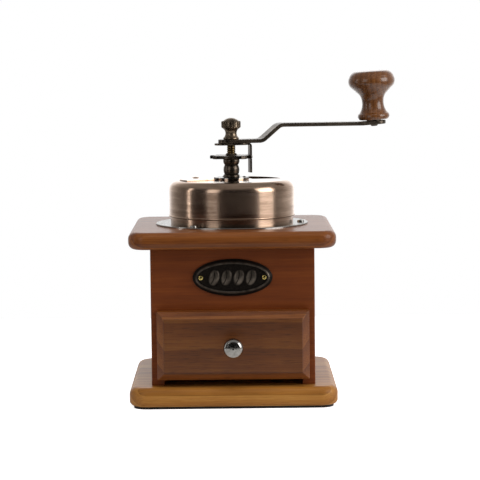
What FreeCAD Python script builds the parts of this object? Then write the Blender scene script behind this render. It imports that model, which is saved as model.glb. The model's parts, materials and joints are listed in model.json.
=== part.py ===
import FreeCAD, Part
import math
import os

# Hand-cranked burr coffee grinder: wooden case with a drawer, domed metal hopper,
# conical burrs on a vertical shaft and a bent crank arm with a turned wooden knob.
# Millimetres. Z is up, the shaft runs along Z through x = y = 0, the drawer opens
# towards -Y, and z = 0 is the surface that the grinder stands on.

Vec = FreeCAD.Vector

# Fits
TIGHT = 0.02          # radial gap of a pressed, glued or screwed joint
RUN = 0.05            # radial gap of a turning or sliding joint
FREE = 0.3            # gap between pieces that pass each other

# Main shaft, which the column, the burrs and the crank all fit
SHAFT_R = 3.2
SHAFT_FLATS = 1.5 * SHAFT_R

# Case
PAD_INSET = 3.0
PAD_THICK = 1.6
BASE_SIDE = 151.0
BASE_THICK = 13.8
BASE_TOP_ROUND = 5.5
BASE_BOTTOM_ROUND = 3.5
TOP_SIDE = 150.0
TOP_THICK = 12.5
TOP_ROUND = 5.0
PLATE_CORNER = 13.0
BODY_WIDTH = 118.8
BODY_DEPTH = 121.0
BODY_HEIGHT = 99.9
FRONT_THICK = 9.0
SIDE_THICK = 8.0
BACK_THICK = 8.0
BODY_EDGE_ROUND = 0.8
LEG_WIDTH = 9.1       # front board left standing beside the drawer opening
OPENING_HEIGHT = 51.0

# Drawer
DRAWER_GAP_BELOW = 5.2
DRAWER_FRONT_WIDTH = BODY_WIDTH - 8.8
DRAWER_FRONT_HEIGHT = OPENING_HEIGHT - 1.4
DRAWER_FRONT_THICK = 12.0
DRAWER_BEVEL_WIDTH = 5.3
DRAWER_BEVEL_DEPTH = 4.0
DRAWER_EDGE = 0.5
DRAWER_WALL = 6.0
DRAWER_BOTTOM_THICK = 3.0
DRAWER_BOX_HEIGHT = OPENING_HEIGHT - 9.0
DRAWER_BOX_DEPTH = BODY_DEPTH - BACK_THICK - 11.0
DRAWER_SIDE_PLAY = 0.5
RAIL_WIDTH = 9.0
RAIL_SETBACK = 24.0
KNOB_HEAD_R = 7.2
KNOB_STEM_R = 3.4
KNOB_LENGTH = 17.0
KNOB_SCREW_R = 1.9

# Plaque
PLAQUE_WIDTH = 57.7
PLAQUE_HEIGHT = 26.9
PLAQUE_EDGE = 0.9     # upright part of the plaque's edge
PLAQUE_THICK = 2.5    # at the ridge
PLAQUE_SLOPE = 2.7    # width of the sloping border
PLAQUE_RIDGE_WIDTH = 0.8
PLAQUE_FIELD = 1.7    # thickness at the sunken field
PLAQUE_SPARE_BELOW = 10.25 / 18.2    # share of the bare board left below the plaque, above the drawer
PLAQUE_SCREW_SPACING = PLAQUE_WIDTH - 11.7
BEAN_COUNT = 4
BEAN_PITCH = 8.9
BEAN_WIDTH = 7.8
BEAN_LENGTH = 12.0
BEAN_RISE = 1.2
BEAN_CREASE = 0.8

# Hopper
DOME_R = 46.9
RING_R = DOME_R + 10.0
RING_THICK = 1.2
COLLAR_HEIGHT = 5.0
SHEET = 0.8
DOME_HEIGHT = 32.0
SKIRT_HEIGHT = 5.0    # narrower band of the dome below its bead
SKIRT_STEP = 0.9
DOME_SHOULDER = 7.0
DOME_BEAD_RISE = 0.5
DOME_BEAD_HEIGHT = 1.3
FEED_R_IN = 16.0
FEED_R_OUT = DOME_R - DOME_SHOULDER - 1.9
FEED_START = 8.0
FEED_SPAN = 90.0
LID_OVERLAP_DEG = 5.0
LID_SWING = 110.0
LID_THICK = 0.8
LID_R_OUT = FEED_R_OUT + 1.2
LID_PLAY = 0.15
LID_GRIP_R = 3.2
LID_GRIP_RISE = 0.9
RETAINER_R = 13.4
RETAINER_THICK = 0.7
BOSS_R_IN = SHAFT_R + 3.3
BOSS_R = 11.3
RIVET_CIRCLE_R = 9.6
RIVET_R = 0.9
HOPPER_SCREW_CIRCLE_R = DOME_R + 4.6
HOPPER_SCREW_ANGLES = (-3.0, 117.0, 237.0)

# Bridge and column
BRIDGE_ANGLE = -40.0
BRIDGE_WIDTH = 14.0
BRIDGE_THICK = 1.8
BRIDGE_REACH = DOME_R - 5.3
BRIDGE_BEND = 8.0
BRIDGE_FOOT_BEND = 3.0
COLUMN_RING_R = SHAFT_R + 2.9
COLUMN_RING_HEIGHT = 3.8
COLUMN_OLIVE_R = 6.0
COLUMN_OLIVE_HEIGHT = 7.2
SPIGOT_R = SHAFT_R + 1.4
COLUMN_NUT_FLATS = 14.0
COLUMN_NUT_HEIGHT = 4.5

# Burrs and their housing
HOUSING_FLANGE_R = DOME_R - 3.9
HOUSING_FLANGE = 2.5
TOP_HOLE_R = 34.0
MOUTH_R = TOP_HOLE_R + 1.0
HOUSING_WALL = 3.5
HOUSING_DEPTH = 42.0  # below the top plate's upper face
FUNNEL_DEPTH = 14.0
BURR_OUTER_R = 24.0
BURR_HEIGHT = 22.0
BURR_LIP = 3.0
SPIDER_HUB_R = SPIGOT_R + 2.9
SPIDER_ARM_WIDTH = 6.0
SPIDER_DROP = 1.0     # spider's upper face below the top plate's upper face
SPIDER_HEIGHT = 7.0
BURR_GAP = 0.6
BURR_FOOT = 1.5       # short cylinder at the wide end of the inner burr
BURR_CHAMFER = 3.0    # lead-in at the mouth of the outer burr
BURR_TOP_R = 14.0
BURR_BOTTOM_R = 19.5
CONE_TOP_R = 9.5
CONE_FLUTES = 10
RING_FLUTES = 24

# Shaft train
SHOULDER_R = 6.0
SHOULDER_HEIGHT = 2.0
BURR_NUT_FLATS = 10.0
BURR_NUT_HEIGHT = 4.5
WASHER_THICK = 1.2
SPRING_R = 5.2
SPRING_WIRE_R = 0.55
SPRING_TURNS = 3.5
THREAD_PITCH = 1.25
THREAD_DEPTH = 0.4

# Adjusting wheel, lock plate, crank arm, cap nut
HUB_R = COLUMN_RING_R
HUB_HEIGHT = 4.6
WHEEL_R = 16.0
WHEEL_THICK = 2.4
WHEEL_NOTCHES = 8
FINGER_WIDTH = 6.6
FINGER_R = WHEEL_R - 1.4
NOTCH_WIDTH = FINGER_WIDTH + 0.8
NOTCH_R = WHEEL_R - 3.0
WHEEL_NOSE_HEIGHT = 1.5
ADJUST_TRAVEL = 6.1   # bare thread between wheel and lock plate
LOCK_THICK = 1.5
LOCK_WIDTH = 12.0
FINGER_DROP = 22.3
LOCK_BACK = 12.7
LOCK_EDGE = 0.3
CRANK_ANGLE = 15.0
CRANK_RADIUS = 113.0
ARM_THICK = 2.8
ARM_WIDTH = 14.0
ARM_BACK = 9.8
ARM_BEND_IN = 23.0
ARM_BEND_OUT = 37.0
ARM_STEP = 11.6
ARM_RISE = -0.3
ARM_BEND_R = 7.0
ARM_PAD_START = CRANK_RADIUS - 11.0
ARM_EDGE = 0.5
ARM_END = CRANK_RADIUS + 9.0
CAP_FLANGE_R = 5.6
CAP_WAIST_R = CAP_FLANGE_R - 1.0
CAP_HEAD_R = 7.3
CAP_HEIGHT = 16.1
CAP_FLUTES = 22
CAP_FLUTE_R = 0.62

# Crank knob, leaning with the arm's bent end
KNOB_LEAN = 3.5
CRANK_KNOB_HEIGHT = 37.4
CRANK_KNOB_R = 17.75
CRANK_KNOB_WAIST_R = 8.2
CRANK_KNOB_FOOT_R = 12.0
AXLE_R = 2.3
AXLE_HEAD_R = 5.2
AXLE_HEAD_HEIGHT = 2.2
AXLE_LENGTH = 26.0
KNOB_PLUG_R = AXLE_HEAD_R + 1.3
KNOB_PLUG_HEIGHT = 5.0
KNOB_WASHER_R = 5.6
KNOB_WASHER_THICK = 0.9
AXLE_RIVET_R = AXLE_R + 0.5
AXLE_RIVET_HEIGHT = 1.3

# Heights that follow from the sizes above
Z_BASE = PAD_THICK
Z_BODY = Z_BASE + BASE_THICK
Z_TOP = Z_BODY + BODY_HEIGHT
Z_DECK = Z_TOP + TOP_THICK
Z_RING = Z_DECK + RING_THICK
Z_DOME_FOOT = Z_RING
Z_DOME = Z_DOME_FOOT + DOME_HEIGHT
Z_OLIVE = Z_DOME + COLUMN_RING_HEIGHT
Z_COLUMN = Z_OLIVE + COLUMN_OLIVE_HEIGHT
Z_HUB = Z_COLUMN + 2 * RUN
Z_WHEEL = Z_HUB + HUB_HEIGHT
Z_NOSE = Z_WHEEL + WHEEL_THICK + WHEEL_NOSE_HEIGHT
Z_LOCK = Z_NOSE + ADJUST_TRAVEL
Z_ARM = Z_LOCK + LOCK_THICK
Z_CAP = Z_ARM + ARM_THICK
Z_SPIDER_TOP = Z_DECK - SPIDER_DROP
Z_SPIDER = Z_SPIDER_TOP - SPIDER_HEIGHT
Z_HOUSING = Z_DECK - HOUSING_DEPTH
Z_BURR = Z_HOUSING + BURR_LIP
Z_BURR_TOP = Z_BURR + BURR_HEIGHT
Z_DRAWER_HEAD = Z_BODY + DRAWER_GAP_BELOW + DRAWER_FRONT_HEIGHT
Z_PLAQUE = (Z_DRAWER_HEAD + PLAQUE_HEIGHT / 2
            + PLAQUE_SPARE_BELOW * (Z_TOP - Z_DRAWER_HEAD - PLAQUE_HEIGHT))
Y_FRONT = -BODY_DEPTH / 2
Y_BACK = BODY_DEPTH / 2
X_SIDE = BODY_WIDTH / 2
X_OPENING = X_SIDE - LEG_WIDTH


# ---------------------------------------------------------------- shape helpers
def box(x0, x1, y0, y1, z0, z1):
    return Part.makeBox(x1 - x0, y1 - y0, z1 - z0, Vec(x0, y0, z0))


def rod(radius, z0, z1, x=0.0, y=0.0):
    return Part.makeCylinder(radius, z1 - z0, Vec(x, y, z0))


def tube(outer, inner, z0, z1, x=0.0, y=0.0):
    return rod(outer, z0, z1, x, y).cut(rod(inner, z0 - 1, z1 + 1, x, y))


def hexagon(flats, z0, z1, x=0.0, y=0.0):
    reach = flats / math.sqrt(3)
    turns = [math.radians(60 * i) for i in range(7)]
    corners = [Vec(x + reach * math.cos(turn), y + reach * math.sin(turn), z0) for turn in turns]
    return Part.Face(Part.makePolygon(corners)).extrude(Vec(0, 0, z1 - z0))


def turned(start, *steps):
    """Solid of revolution about Z. A step (r, z) is a line, (rm, zm, r, z) an arc through (rm, zm)."""
    edges = []
    here = Vec(start[0], 0, start[1])
    first = here
    for step in steps:
        there = Vec(step[-2], 0, step[-1])
        if len(step) == 4:
            arc = Part.Arc(here, Vec(step[0], 0, step[1]), there).toShape()
            if 0.001 < abs(arc.Curve.Center.x) < arc.Curve.Radius:
                arc = arc.toNurbs().Edges[0]   # a true arc here would sweep a torus through its own axis
            edges.append(arc)
        else:
            edges.append(Part.LineSegment(here, there).toShape())
        here = there
    edges.append(Part.LineSegment(here, first).toShape())
    return Part.Face(Part.Wire(edges)).revolve(Vec(0, 0, 0), Vec(0, 0, 1), 360)


def crown(radius, z0, z1):
    """Step for turned: a spherical crown from (radius, z0) up to the axis at z1."""
    rise = z1 - z0
    ball = (rise * rise + radius * radius) / (2 * rise)
    half = math.asin(radius / ball) / 2
    return (ball * math.sin(half), z1 - ball + ball * math.cos(half), 0, z1)


def moved(shape, x=0.0, y=0.0, z=0.0):
    copy = shape.copy()
    copy.translate(Vec(x, y, z))
    return copy


def spun(shape, degrees, axis=Vec(0, 0, 1), centre=Vec(0, 0, 0)):
    copy = shape.copy()
    copy.rotate(centre, axis, degrees)
    return copy


def around(shape, count, start=0.0):
    return [spun(shape, start + i * 360.0 / count) for i in range(count)]


def polar(radius, degrees):
    return (radius * math.cos(math.radians(degrees)), radius * math.sin(math.radians(degrees)))


def slab(side, z0, z1, corner, top_round, bottom_round):
    """Square plate with rounded corners and rounded upper and lower edges."""
    plate = box(-side / 2, side / 2, -side / 2, side / 2, z0, z1)
    upright = [e for e in plate.Edges if abs(e.Vertexes[0].Z - e.Vertexes[-1].Z) > 0.5 * (z1 - z0)]
    plate = plate.makeFillet(corner, upright)
    upper = [e for e in plate.Edges if e.BoundBox.ZMin > z1 - 0.01]
    plate = plate.makeFillet(top_round, upper)
    lower = [e for e in plate.Edges if e.BoundBox.ZMax < z0 + 0.01]
    return plate.makeFillet(bottom_round, lower)


def strap(points, thick, width, bend):
    """Flat strip along (x, z) points, with arcs of middle radius bend, as wide as width across Y."""
    near = []
    far = []
    count = len(points)
    for i in range(count):
        here = Vec(points[i][0], 0, points[i][1])
        if i == 0 or i == count - 1:
            other = points[1] if i == 0 else points[count - 2]
            along = Vec(other[0], 0, other[1]) - here
            along = along if i == 0 else along * -1
            along.normalize()
            side = Vec(-along.z, 0, along.x) * (thick / 2)
            near.append((here + side,))
            far.append((here - side,))
            continue
        before = here - Vec(points[i - 1][0], 0, points[i - 1][1])
        after = Vec(points[i + 1][0], 0, points[i + 1][1]) - here
        before.normalize()
        after.normalize()
        turn = math.atan2(before.x * after.z - before.z * after.x, before.x * after.x + before.z * after.z)
        trim = bend * math.tan(abs(turn) / 2)
        sense = 1.0 if turn > 0 else -1.0
        centre = here - before * trim + Vec(-before.z, 0, before.x) * (sense * bend)
        middle = here - centre
        middle.normalize()
        for path, offset in ((near, thick / 2), (far, -thick / 2)):
            radius = bend - sense * offset
            first = centre + Vec(before.z, 0, -before.x) * (sense * radius)
            last = centre + Vec(after.z, 0, -after.x) * (sense * radius)
            path.append((first, centre + middle * radius, last))
    edges = []
    for path in (near, far):
        for i, spot in enumerate(path):
            if len(spot) == 3:
                edges.append(Part.Arc(spot[0], spot[1], spot[2]).toShape())
            if i + 1 < len(path):
                edges.append(Part.LineSegment(spot[-1], path[i + 1][0]).toShape())
    edges.append(Part.LineSegment(near[0][0], far[0][0]).toShape())
    edges.append(Part.LineSegment(near[-1][0], far[-1][0]).toShape())
    face = Part.Face(Part.Wire(Part.__sortEdges__(edges)))
    return moved(face.extrude(Vec(0, width, 0)), y=-width / 2)


def stadium(x0, x1, width, z0, z1):
    """Upright slab along X with both ends rounded to half its width."""
    half = width / 2
    middle = box(x0 + half, x1 - half, -half, half, z0, z1)
    return middle.fuse([rod(half, z0, z1, x0 + half), rod(half, z0, z1, x1 - half)]).removeSplitter()


def flatted(radius, flats, z0, z1):
    """Round bar with two flats."""
    return rod(radius, z0, z1).common(box(-radius, radius, -flats / 2, flats / 2, z0, z1))


def softened(shape, radius):
    """Rounds every edge where two faces meet at a clear angle."""
    solid = shape.Solids[0]
    sharp = []
    for edge in solid.Edges:
        faces = solid.ancestorsOfType(edge, Part.Face)
        if len(faces) != 2 or edge.Length < 0.01:
            continue
        middle = edge.valueAt((edge.FirstParameter + edge.LastParameter) / 2)
        normals = []
        for face in faces:
            u, v = face.Surface.parameter(middle)
            normals.append(face.normalAt(u, v))
        if normals[0].getAngle(normals[1]) > math.radians(20):
            sharp.append(edge)
    return solid.makeFillet(radius, sharp)


def facing_front(shape):
    """Turns a shape built upwards along Z so that it points out of the case's front."""
    return spun(shape, 90, Vec(1, 0, 0))


def screw(head_r, head_rise, shank_r, length):
    """Pan-head screw with a cross recess, its head's seat at z = 0 and its shank below."""
    head = turned((0, 0), (head_r, 0), (head_r, 0.35 * head_rise), (0.9 * head_r, 0.7 * head_rise),
                  (0.7 * head_r, 0.88 * head_rise), crown(0.7 * head_r, 0.88 * head_rise, head_rise))
    shank = rod(shank_r, -length + 1.5 * shank_r, 0)
    tip = turned((0, -length), (shank_r, -length + 1.5 * shank_r), (0, -length + 1.5 * shank_r))
    slot_width = 0.26 * head_r
    slot_reach = 0.62 * head_r
    slot = box(-slot_reach, slot_reach, -slot_width / 2, slot_width / 2, 0.45 * head_rise, head_rise + 1)
    return head.fuse([shank, tip]).cut(slot.fuse(spun(slot, 90))).removeSplitter()


NODES = {}


def keep(name, *solids):
    NODES[name] = solids[0] if len(solids) == 1 else Part.makeCompound(list(solids))


# ---------------------------------------------------------------- case
CASE_SCREW_R = 1.75
CASE_SCREW_LENGTH = 26.0
CASE_SCREW_HEAD_R = 3.6
CASE_SCREW_HEAD = 2.2
CASE_SCREW_Y = 42.0
DOWEL_R = 3.0
DOWEL_DEPTH = 9.0
DOWEL_Y = 38.0
PLATE_SCREW_R = 1.5
PLATE_SCREW_LENGTH = 9.0
PLATE_SCREW_HEAD_R = 2.6
PLATE_SCREW_HEAD = 1.6
SMALL_SCREW_R = 0.9
SMALL_SCREW_LENGTH = 6.0
SMALL_SCREW_HEAD_R = 1.7
SMALL_SCREW_HEAD = 0.9

side_middle = X_SIDE - SIDE_THICK / 2
bridge_screw_r = BRIDGE_REACH - BRIDGE_FOOT_BEND - BRIDGE_THICK - 0.4 * PLATE_SCREW_HEAD_R
bridge_angles = (BRIDGE_ANGLE, BRIDGE_ANGLE + 180)
housing_angles = (BRIDGE_ANGLE + 90, BRIDGE_ANGLE + 270)


def make_case():
    pad_side = BASE_SIDE - 2 * PAD_INSET
    pad = box(-pad_side / 2, pad_side / 2, -pad_side / 2, pad_side / 2, 0, PAD_THICK)
    upright = [e for e in pad.Edges if abs(e.Vertexes[0].Z - e.Vertexes[-1].Z) > 0.5 * PAD_THICK]
    keep("felt_pad", pad.makeFillet(PLATE_CORNER - PAD_INSET, upright))

    base = slab(BASE_SIDE, Z_BASE, Z_BODY, PLATE_CORNER, BASE_TOP_ROUND, BASE_BOTTOM_ROUND)
    sides = []
    for sign in (-1, 1):
        x0, x1 = sorted((sign * X_SIDE, sign * (X_SIDE - SIDE_THICK)))
        sides.append(box(x0, x1, Y_FRONT + FRONT_THICK, Y_BACK - BACK_THICK, Z_BODY, Z_TOP))
    top = slab(TOP_SIDE, Z_TOP, Z_DECK, PLATE_CORNER, TOP_ROUND, TOP_ROUND)
    top = top.cut(rod(TOP_HOLE_R, Z_TOP - 1, Z_DECK + 1))

    screws = []
    dowels = []
    for i, sign in enumerate((-1, 1)):
        for end in (-1, 1):
            x = sign * side_middle
            y = end * CASE_SCREW_Y
            bolt = screw(CASE_SCREW_HEAD_R, CASE_SCREW_HEAD, CASE_SCREW_R, CASE_SCREW_LENGTH)
            bolt = moved(spun(bolt, 180, Vec(1, 0, 0)), x, y, Z_BASE + CASE_SCREW_HEAD)
            screws.append(bolt)
            shaft = rod(CASE_SCREW_R + TIGHT, Z_BASE, Z_BASE + CASE_SCREW_HEAD + CASE_SCREW_LENGTH, x, y)
            sink = rod(CASE_SCREW_HEAD_R + TIGHT, Z_BASE - 1, Z_BASE + CASE_SCREW_HEAD, x, y)
            base = base.cut(shaft.fuse(sink))
            sides[i] = sides[i].cut(shaft)
            dowel_y = end * DOWEL_Y
            dowels.append(rod(DOWEL_R, Z_TOP - DOWEL_DEPTH, Z_TOP + 0.6 * DOWEL_DEPTH, x, dowel_y))
            socket = rod(DOWEL_R + TIGHT, Z_TOP - DOWEL_DEPTH, Z_TOP + 0.6 * DOWEL_DEPTH, x, dowel_y)
            sides[i] = sides[i].cut(socket)
            top = top.cut(socket)
    keep("base_screws", *screws)
    keep("top_dowels", *dowels)

    for angle in HOPPER_SCREW_ANGLES:
        x, y = polar(HOPPER_SCREW_CIRCLE_R, angle)
        top = top.cut(rod(PLATE_SCREW_R + TIGHT, Z_RING - PLATE_SCREW_LENGTH, Z_DECK + 1, x, y))
    for angle in bridge_angles + housing_angles:
        x, y = polar(bridge_screw_r, angle)
        top = top.cut(rod(PLATE_SCREW_R + TIGHT, Z_DECK - PLATE_SCREW_LENGTH, Z_DECK + 1, x, y))

    front = box(-X_SIDE, X_SIDE, Y_FRONT, Y_FRONT + FRONT_THICK, Z_BODY, Z_TOP)
    front = front.makeFillet(BODY_EDGE_ROUND, [e for e in front.Edges if is_outer_upright(e, Y_FRONT)])
    opening_top = Z_BODY + OPENING_HEIGHT
    opening = box(-X_OPENING, X_OPENING, Y_FRONT - 1, Y_FRONT + FRONT_THICK + 1, Z_BODY - 1, opening_top)
    front = front.cut(opening)
    for sign in (-1, 1):
        hole = rod(SMALL_SCREW_R + TIGHT, -SMALL_SCREW_LENGTH - 1, 1)
        front = front.cut(moved(facing_front(hole), sign * PLAQUE_SCREW_SPACING / 2, Y_FRONT, Z_PLAQUE))
    back = box(-X_SIDE, X_SIDE, Y_BACK - BACK_THICK, Y_BACK, Z_BODY, Z_TOP)
    back = back.makeFillet(BODY_EDGE_ROUND, [e for e in back.Edges if is_outer_upright(e, Y_BACK)])

    keep("base_plate", base)
    keep("side_panel_left", sides[0])
    keep("side_panel_right", sides[1])
    keep("front_panel", front)
    keep("back_panel", back)
    keep("top_plate", top)

    rails = []
    rail_top = Z_BODY + DRAWER_GAP_BELOW
    for sign in (-1, 1):
        x0, x1 = sorted((sign * (X_SIDE - SIDE_THICK), sign * (X_SIDE - SIDE_THICK - RAIL_WIDTH)))
        rails.append(box(x0, x1, Y_FRONT + RAIL_SETBACK, Y_BACK - BACK_THICK, Z_BODY, rail_top))
    keep("drawer_rails", *rails)


def is_outer_upright(edge, y):
    spot = edge.BoundBox
    return spot.ZLength > 1 and abs(spot.YMin - y) < 0.01 and abs(spot.YMax - y) < 0.01


# ---------------------------------------------------------------- plaque
def oval(width, height, z0, z1):
    curve = Part.Ellipse(Vec(0, 0, z0), width / 2, height / 2)
    return Part.Face(Part.Wire(curve.toShape())).extrude(Vec(0, 0, z1 - z0))


def coffee_bean():
    """Half bean lying on z = 0 with a curved crease along its length."""
    ball = Part.makeSphere(1.0)
    grow = FreeCAD.Matrix()
    grow.scale(BEAN_WIDTH / 2, BEAN_LENGTH / 2, BEAN_RISE)
    above = box(-BEAN_WIDTH, BEAN_WIDTH, -BEAN_LENGTH, BEAN_LENGTH, 0, BEAN_RISE + 1)
    half = ball.transformGeometry(grow).common(above)
    bow = BEAN_LENGTH
    crease = tube(bow + BEAN_CREASE / 2, bow - BEAN_CREASE / 2, 0.35 * BEAN_RISE, BEAN_RISE + 1, x=-bow)
    return spun(half.cut(crease), -14)


def make_plaque():
    plate = oval(PLAQUE_WIDTH, PLAQUE_HEIGHT, 0, PLAQUE_EDGE)
    rims = []
    for inset, z in ((0, PLAQUE_EDGE), (PLAQUE_SLOPE, PLAQUE_THICK)):
        rim = Part.Ellipse(Vec(0, 0, z), PLAQUE_WIDTH / 2 - inset, PLAQUE_HEIGHT / 2 - inset)
        rims.append(Part.Wire(rim.toShape()))
    plate = plate.fuse(Part.makeLoft(rims, True, True))
    field = 2 * (PLAQUE_SLOPE + PLAQUE_RIDGE_WIDTH)
    plate = plate.cut(oval(PLAQUE_WIDTH - field, PLAQUE_HEIGHT - field, PLAQUE_FIELD, PLAQUE_THICK + 1))
    for i in range(BEAN_COUNT):
        x = (i - (BEAN_COUNT - 1) / 2) * BEAN_PITCH
        plate = plate.fuse(moved(coffee_bean(), x, 0, PLAQUE_FIELD - 0.1))
    bolts = []
    for sign in (-1, 1):
        x = sign * PLAQUE_SCREW_SPACING / 2
        plate = plate.cut(rod(SMALL_SCREW_R + TIGHT, -1, 9, x))
        bolt = screw(SMALL_SCREW_HEAD_R, SMALL_SCREW_HEAD, SMALL_SCREW_R, SMALL_SCREW_LENGTH)
        bolts.append(moved(facing_front(moved(bolt, x, 0, PLAQUE_FIELD)), 0, Y_FRONT, Z_PLAQUE))
    keep("plaque", moved(facing_front(plate.removeSplitter()), 0, Y_FRONT, Z_PLAQUE))
    keep("plaque_screws", *bolts)


# ---------------------------------------------------------------- drawer
def make_drawer():
    y_back = Y_FRONT - FREE
    y_face = y_back - DRAWER_FRONT_THICK
    z0 = Z_BODY + DRAWER_GAP_BELOW
    z1 = z0 + DRAWER_FRONT_HEIGHT
    half = DRAWER_FRONT_WIDTH / 2
    knob_z = (z0 + z1) / 2 + 0.4
    front = box(-half, half, y_face + DRAWER_BEVEL_DEPTH, y_back, z0, z1)
    rims = []
    for inset, y in ((0, y_face + DRAWER_BEVEL_DEPTH), (DRAWER_BEVEL_WIDTH, y_face)):
        corners = [Vec(sx * (half - inset), y, z) for sx, z in (
            (-1, z0 + inset), (1, z0 + inset), (1, z1 - inset), (-1, z1 - inset), (-1, z0 + inset))]
        rims.append(Part.makePolygon(corners))
    front = softened(front.fuse(Part.makeLoft(rims, True, True)).removeSplitter(), DRAWER_EDGE)
    bore = rod(KNOB_SCREW_R + TIGHT, -DRAWER_FRONT_THICK - DRAWER_WALL - 5, 5)
    bore = moved(facing_front(bore), 0, y_face, knob_z)
    keep("drawer_front", front.cut(bore))

    box_half = X_OPENING - DRAWER_SIDE_PLAY
    floor = Z_BODY + DRAWER_GAP_BELOW + FREE
    rim = floor + DRAWER_BOX_HEIGHT
    y1 = y_back + DRAWER_BOX_DEPTH
    y_in = y_back + DRAWER_WALL
    groove = 2.0
    z_floor = floor + 1.5
    bottom_half = box_half - DRAWER_WALL + groove
    bottom = box(-bottom_half, bottom_half, y_in - groove, y1 - DRAWER_WALL + groove, z_floor,
                 z_floor + DRAWER_BOTTOM_THICK)
    slot = box(-bottom_half - TIGHT, bottom_half + TIGHT,
               y_in - groove - TIGHT, y1 - DRAWER_WALL + groove + TIGHT,
               z_floor - TIGHT, z_floor + DRAWER_BOTTOM_THICK + TIGHT)
    keep("drawer_bottom", bottom)
    keep("drawer_inner_front", box(-box_half, box_half, y_back, y_in, floor, rim).cut(slot).cut(bore))
    keep("drawer_back", box(-box_half, box_half, y1 - DRAWER_WALL, y1, floor, rim).cut(slot))
    for name, sign in (("drawer_side_left", -1), ("drawer_side_right", 1)):
        x0, x1 = sorted((sign * box_half, sign * (box_half - DRAWER_WALL)))
        keep(name, box(x0, x1, y_in, y1 - DRAWER_WALL, floor, rim).cut(slot))

    knob = turned((0, 0), (1.25 * KNOB_STEM_R, 0), (1.25 * KNOB_STEM_R, 1.2), (KNOB_STEM_R, 2.2),
                  (0.95 * KNOB_STEM_R, 5.2, 1.3 * KNOB_STEM_R, 8.2),
                  (KNOB_HEAD_R - 0.6, KNOB_LENGTH - 6.6, KNOB_HEAD_R, KNOB_LENGTH - 4.4),
                  (KNOB_HEAD_R - 0.3, KNOB_LENGTH - 2.7, KNOB_HEAD_R - 2.2, KNOB_LENGTH - 0.6),
                  crown(KNOB_HEAD_R - 2.2, KNOB_LENGTH - 0.6, KNOB_LENGTH))
    knob = knob.cut(rod(KNOB_SCREW_R + TIGHT, -1, 0.55 * KNOB_LENGTH))
    keep("drawer_knob", moved(facing_front(knob), 0, y_face, knob_z))
    bolt_length = DRAWER_FRONT_THICK + DRAWER_WALL + 0.5 * KNOB_LENGTH
    bolt = screw(2 * KNOB_SCREW_R, 2.0, KNOB_SCREW_R, bolt_length)
    keep("drawer_knob_screw", moved(spun(bolt, -90, Vec(1, 0, 0)), 0, y_in, knob_z))


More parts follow.
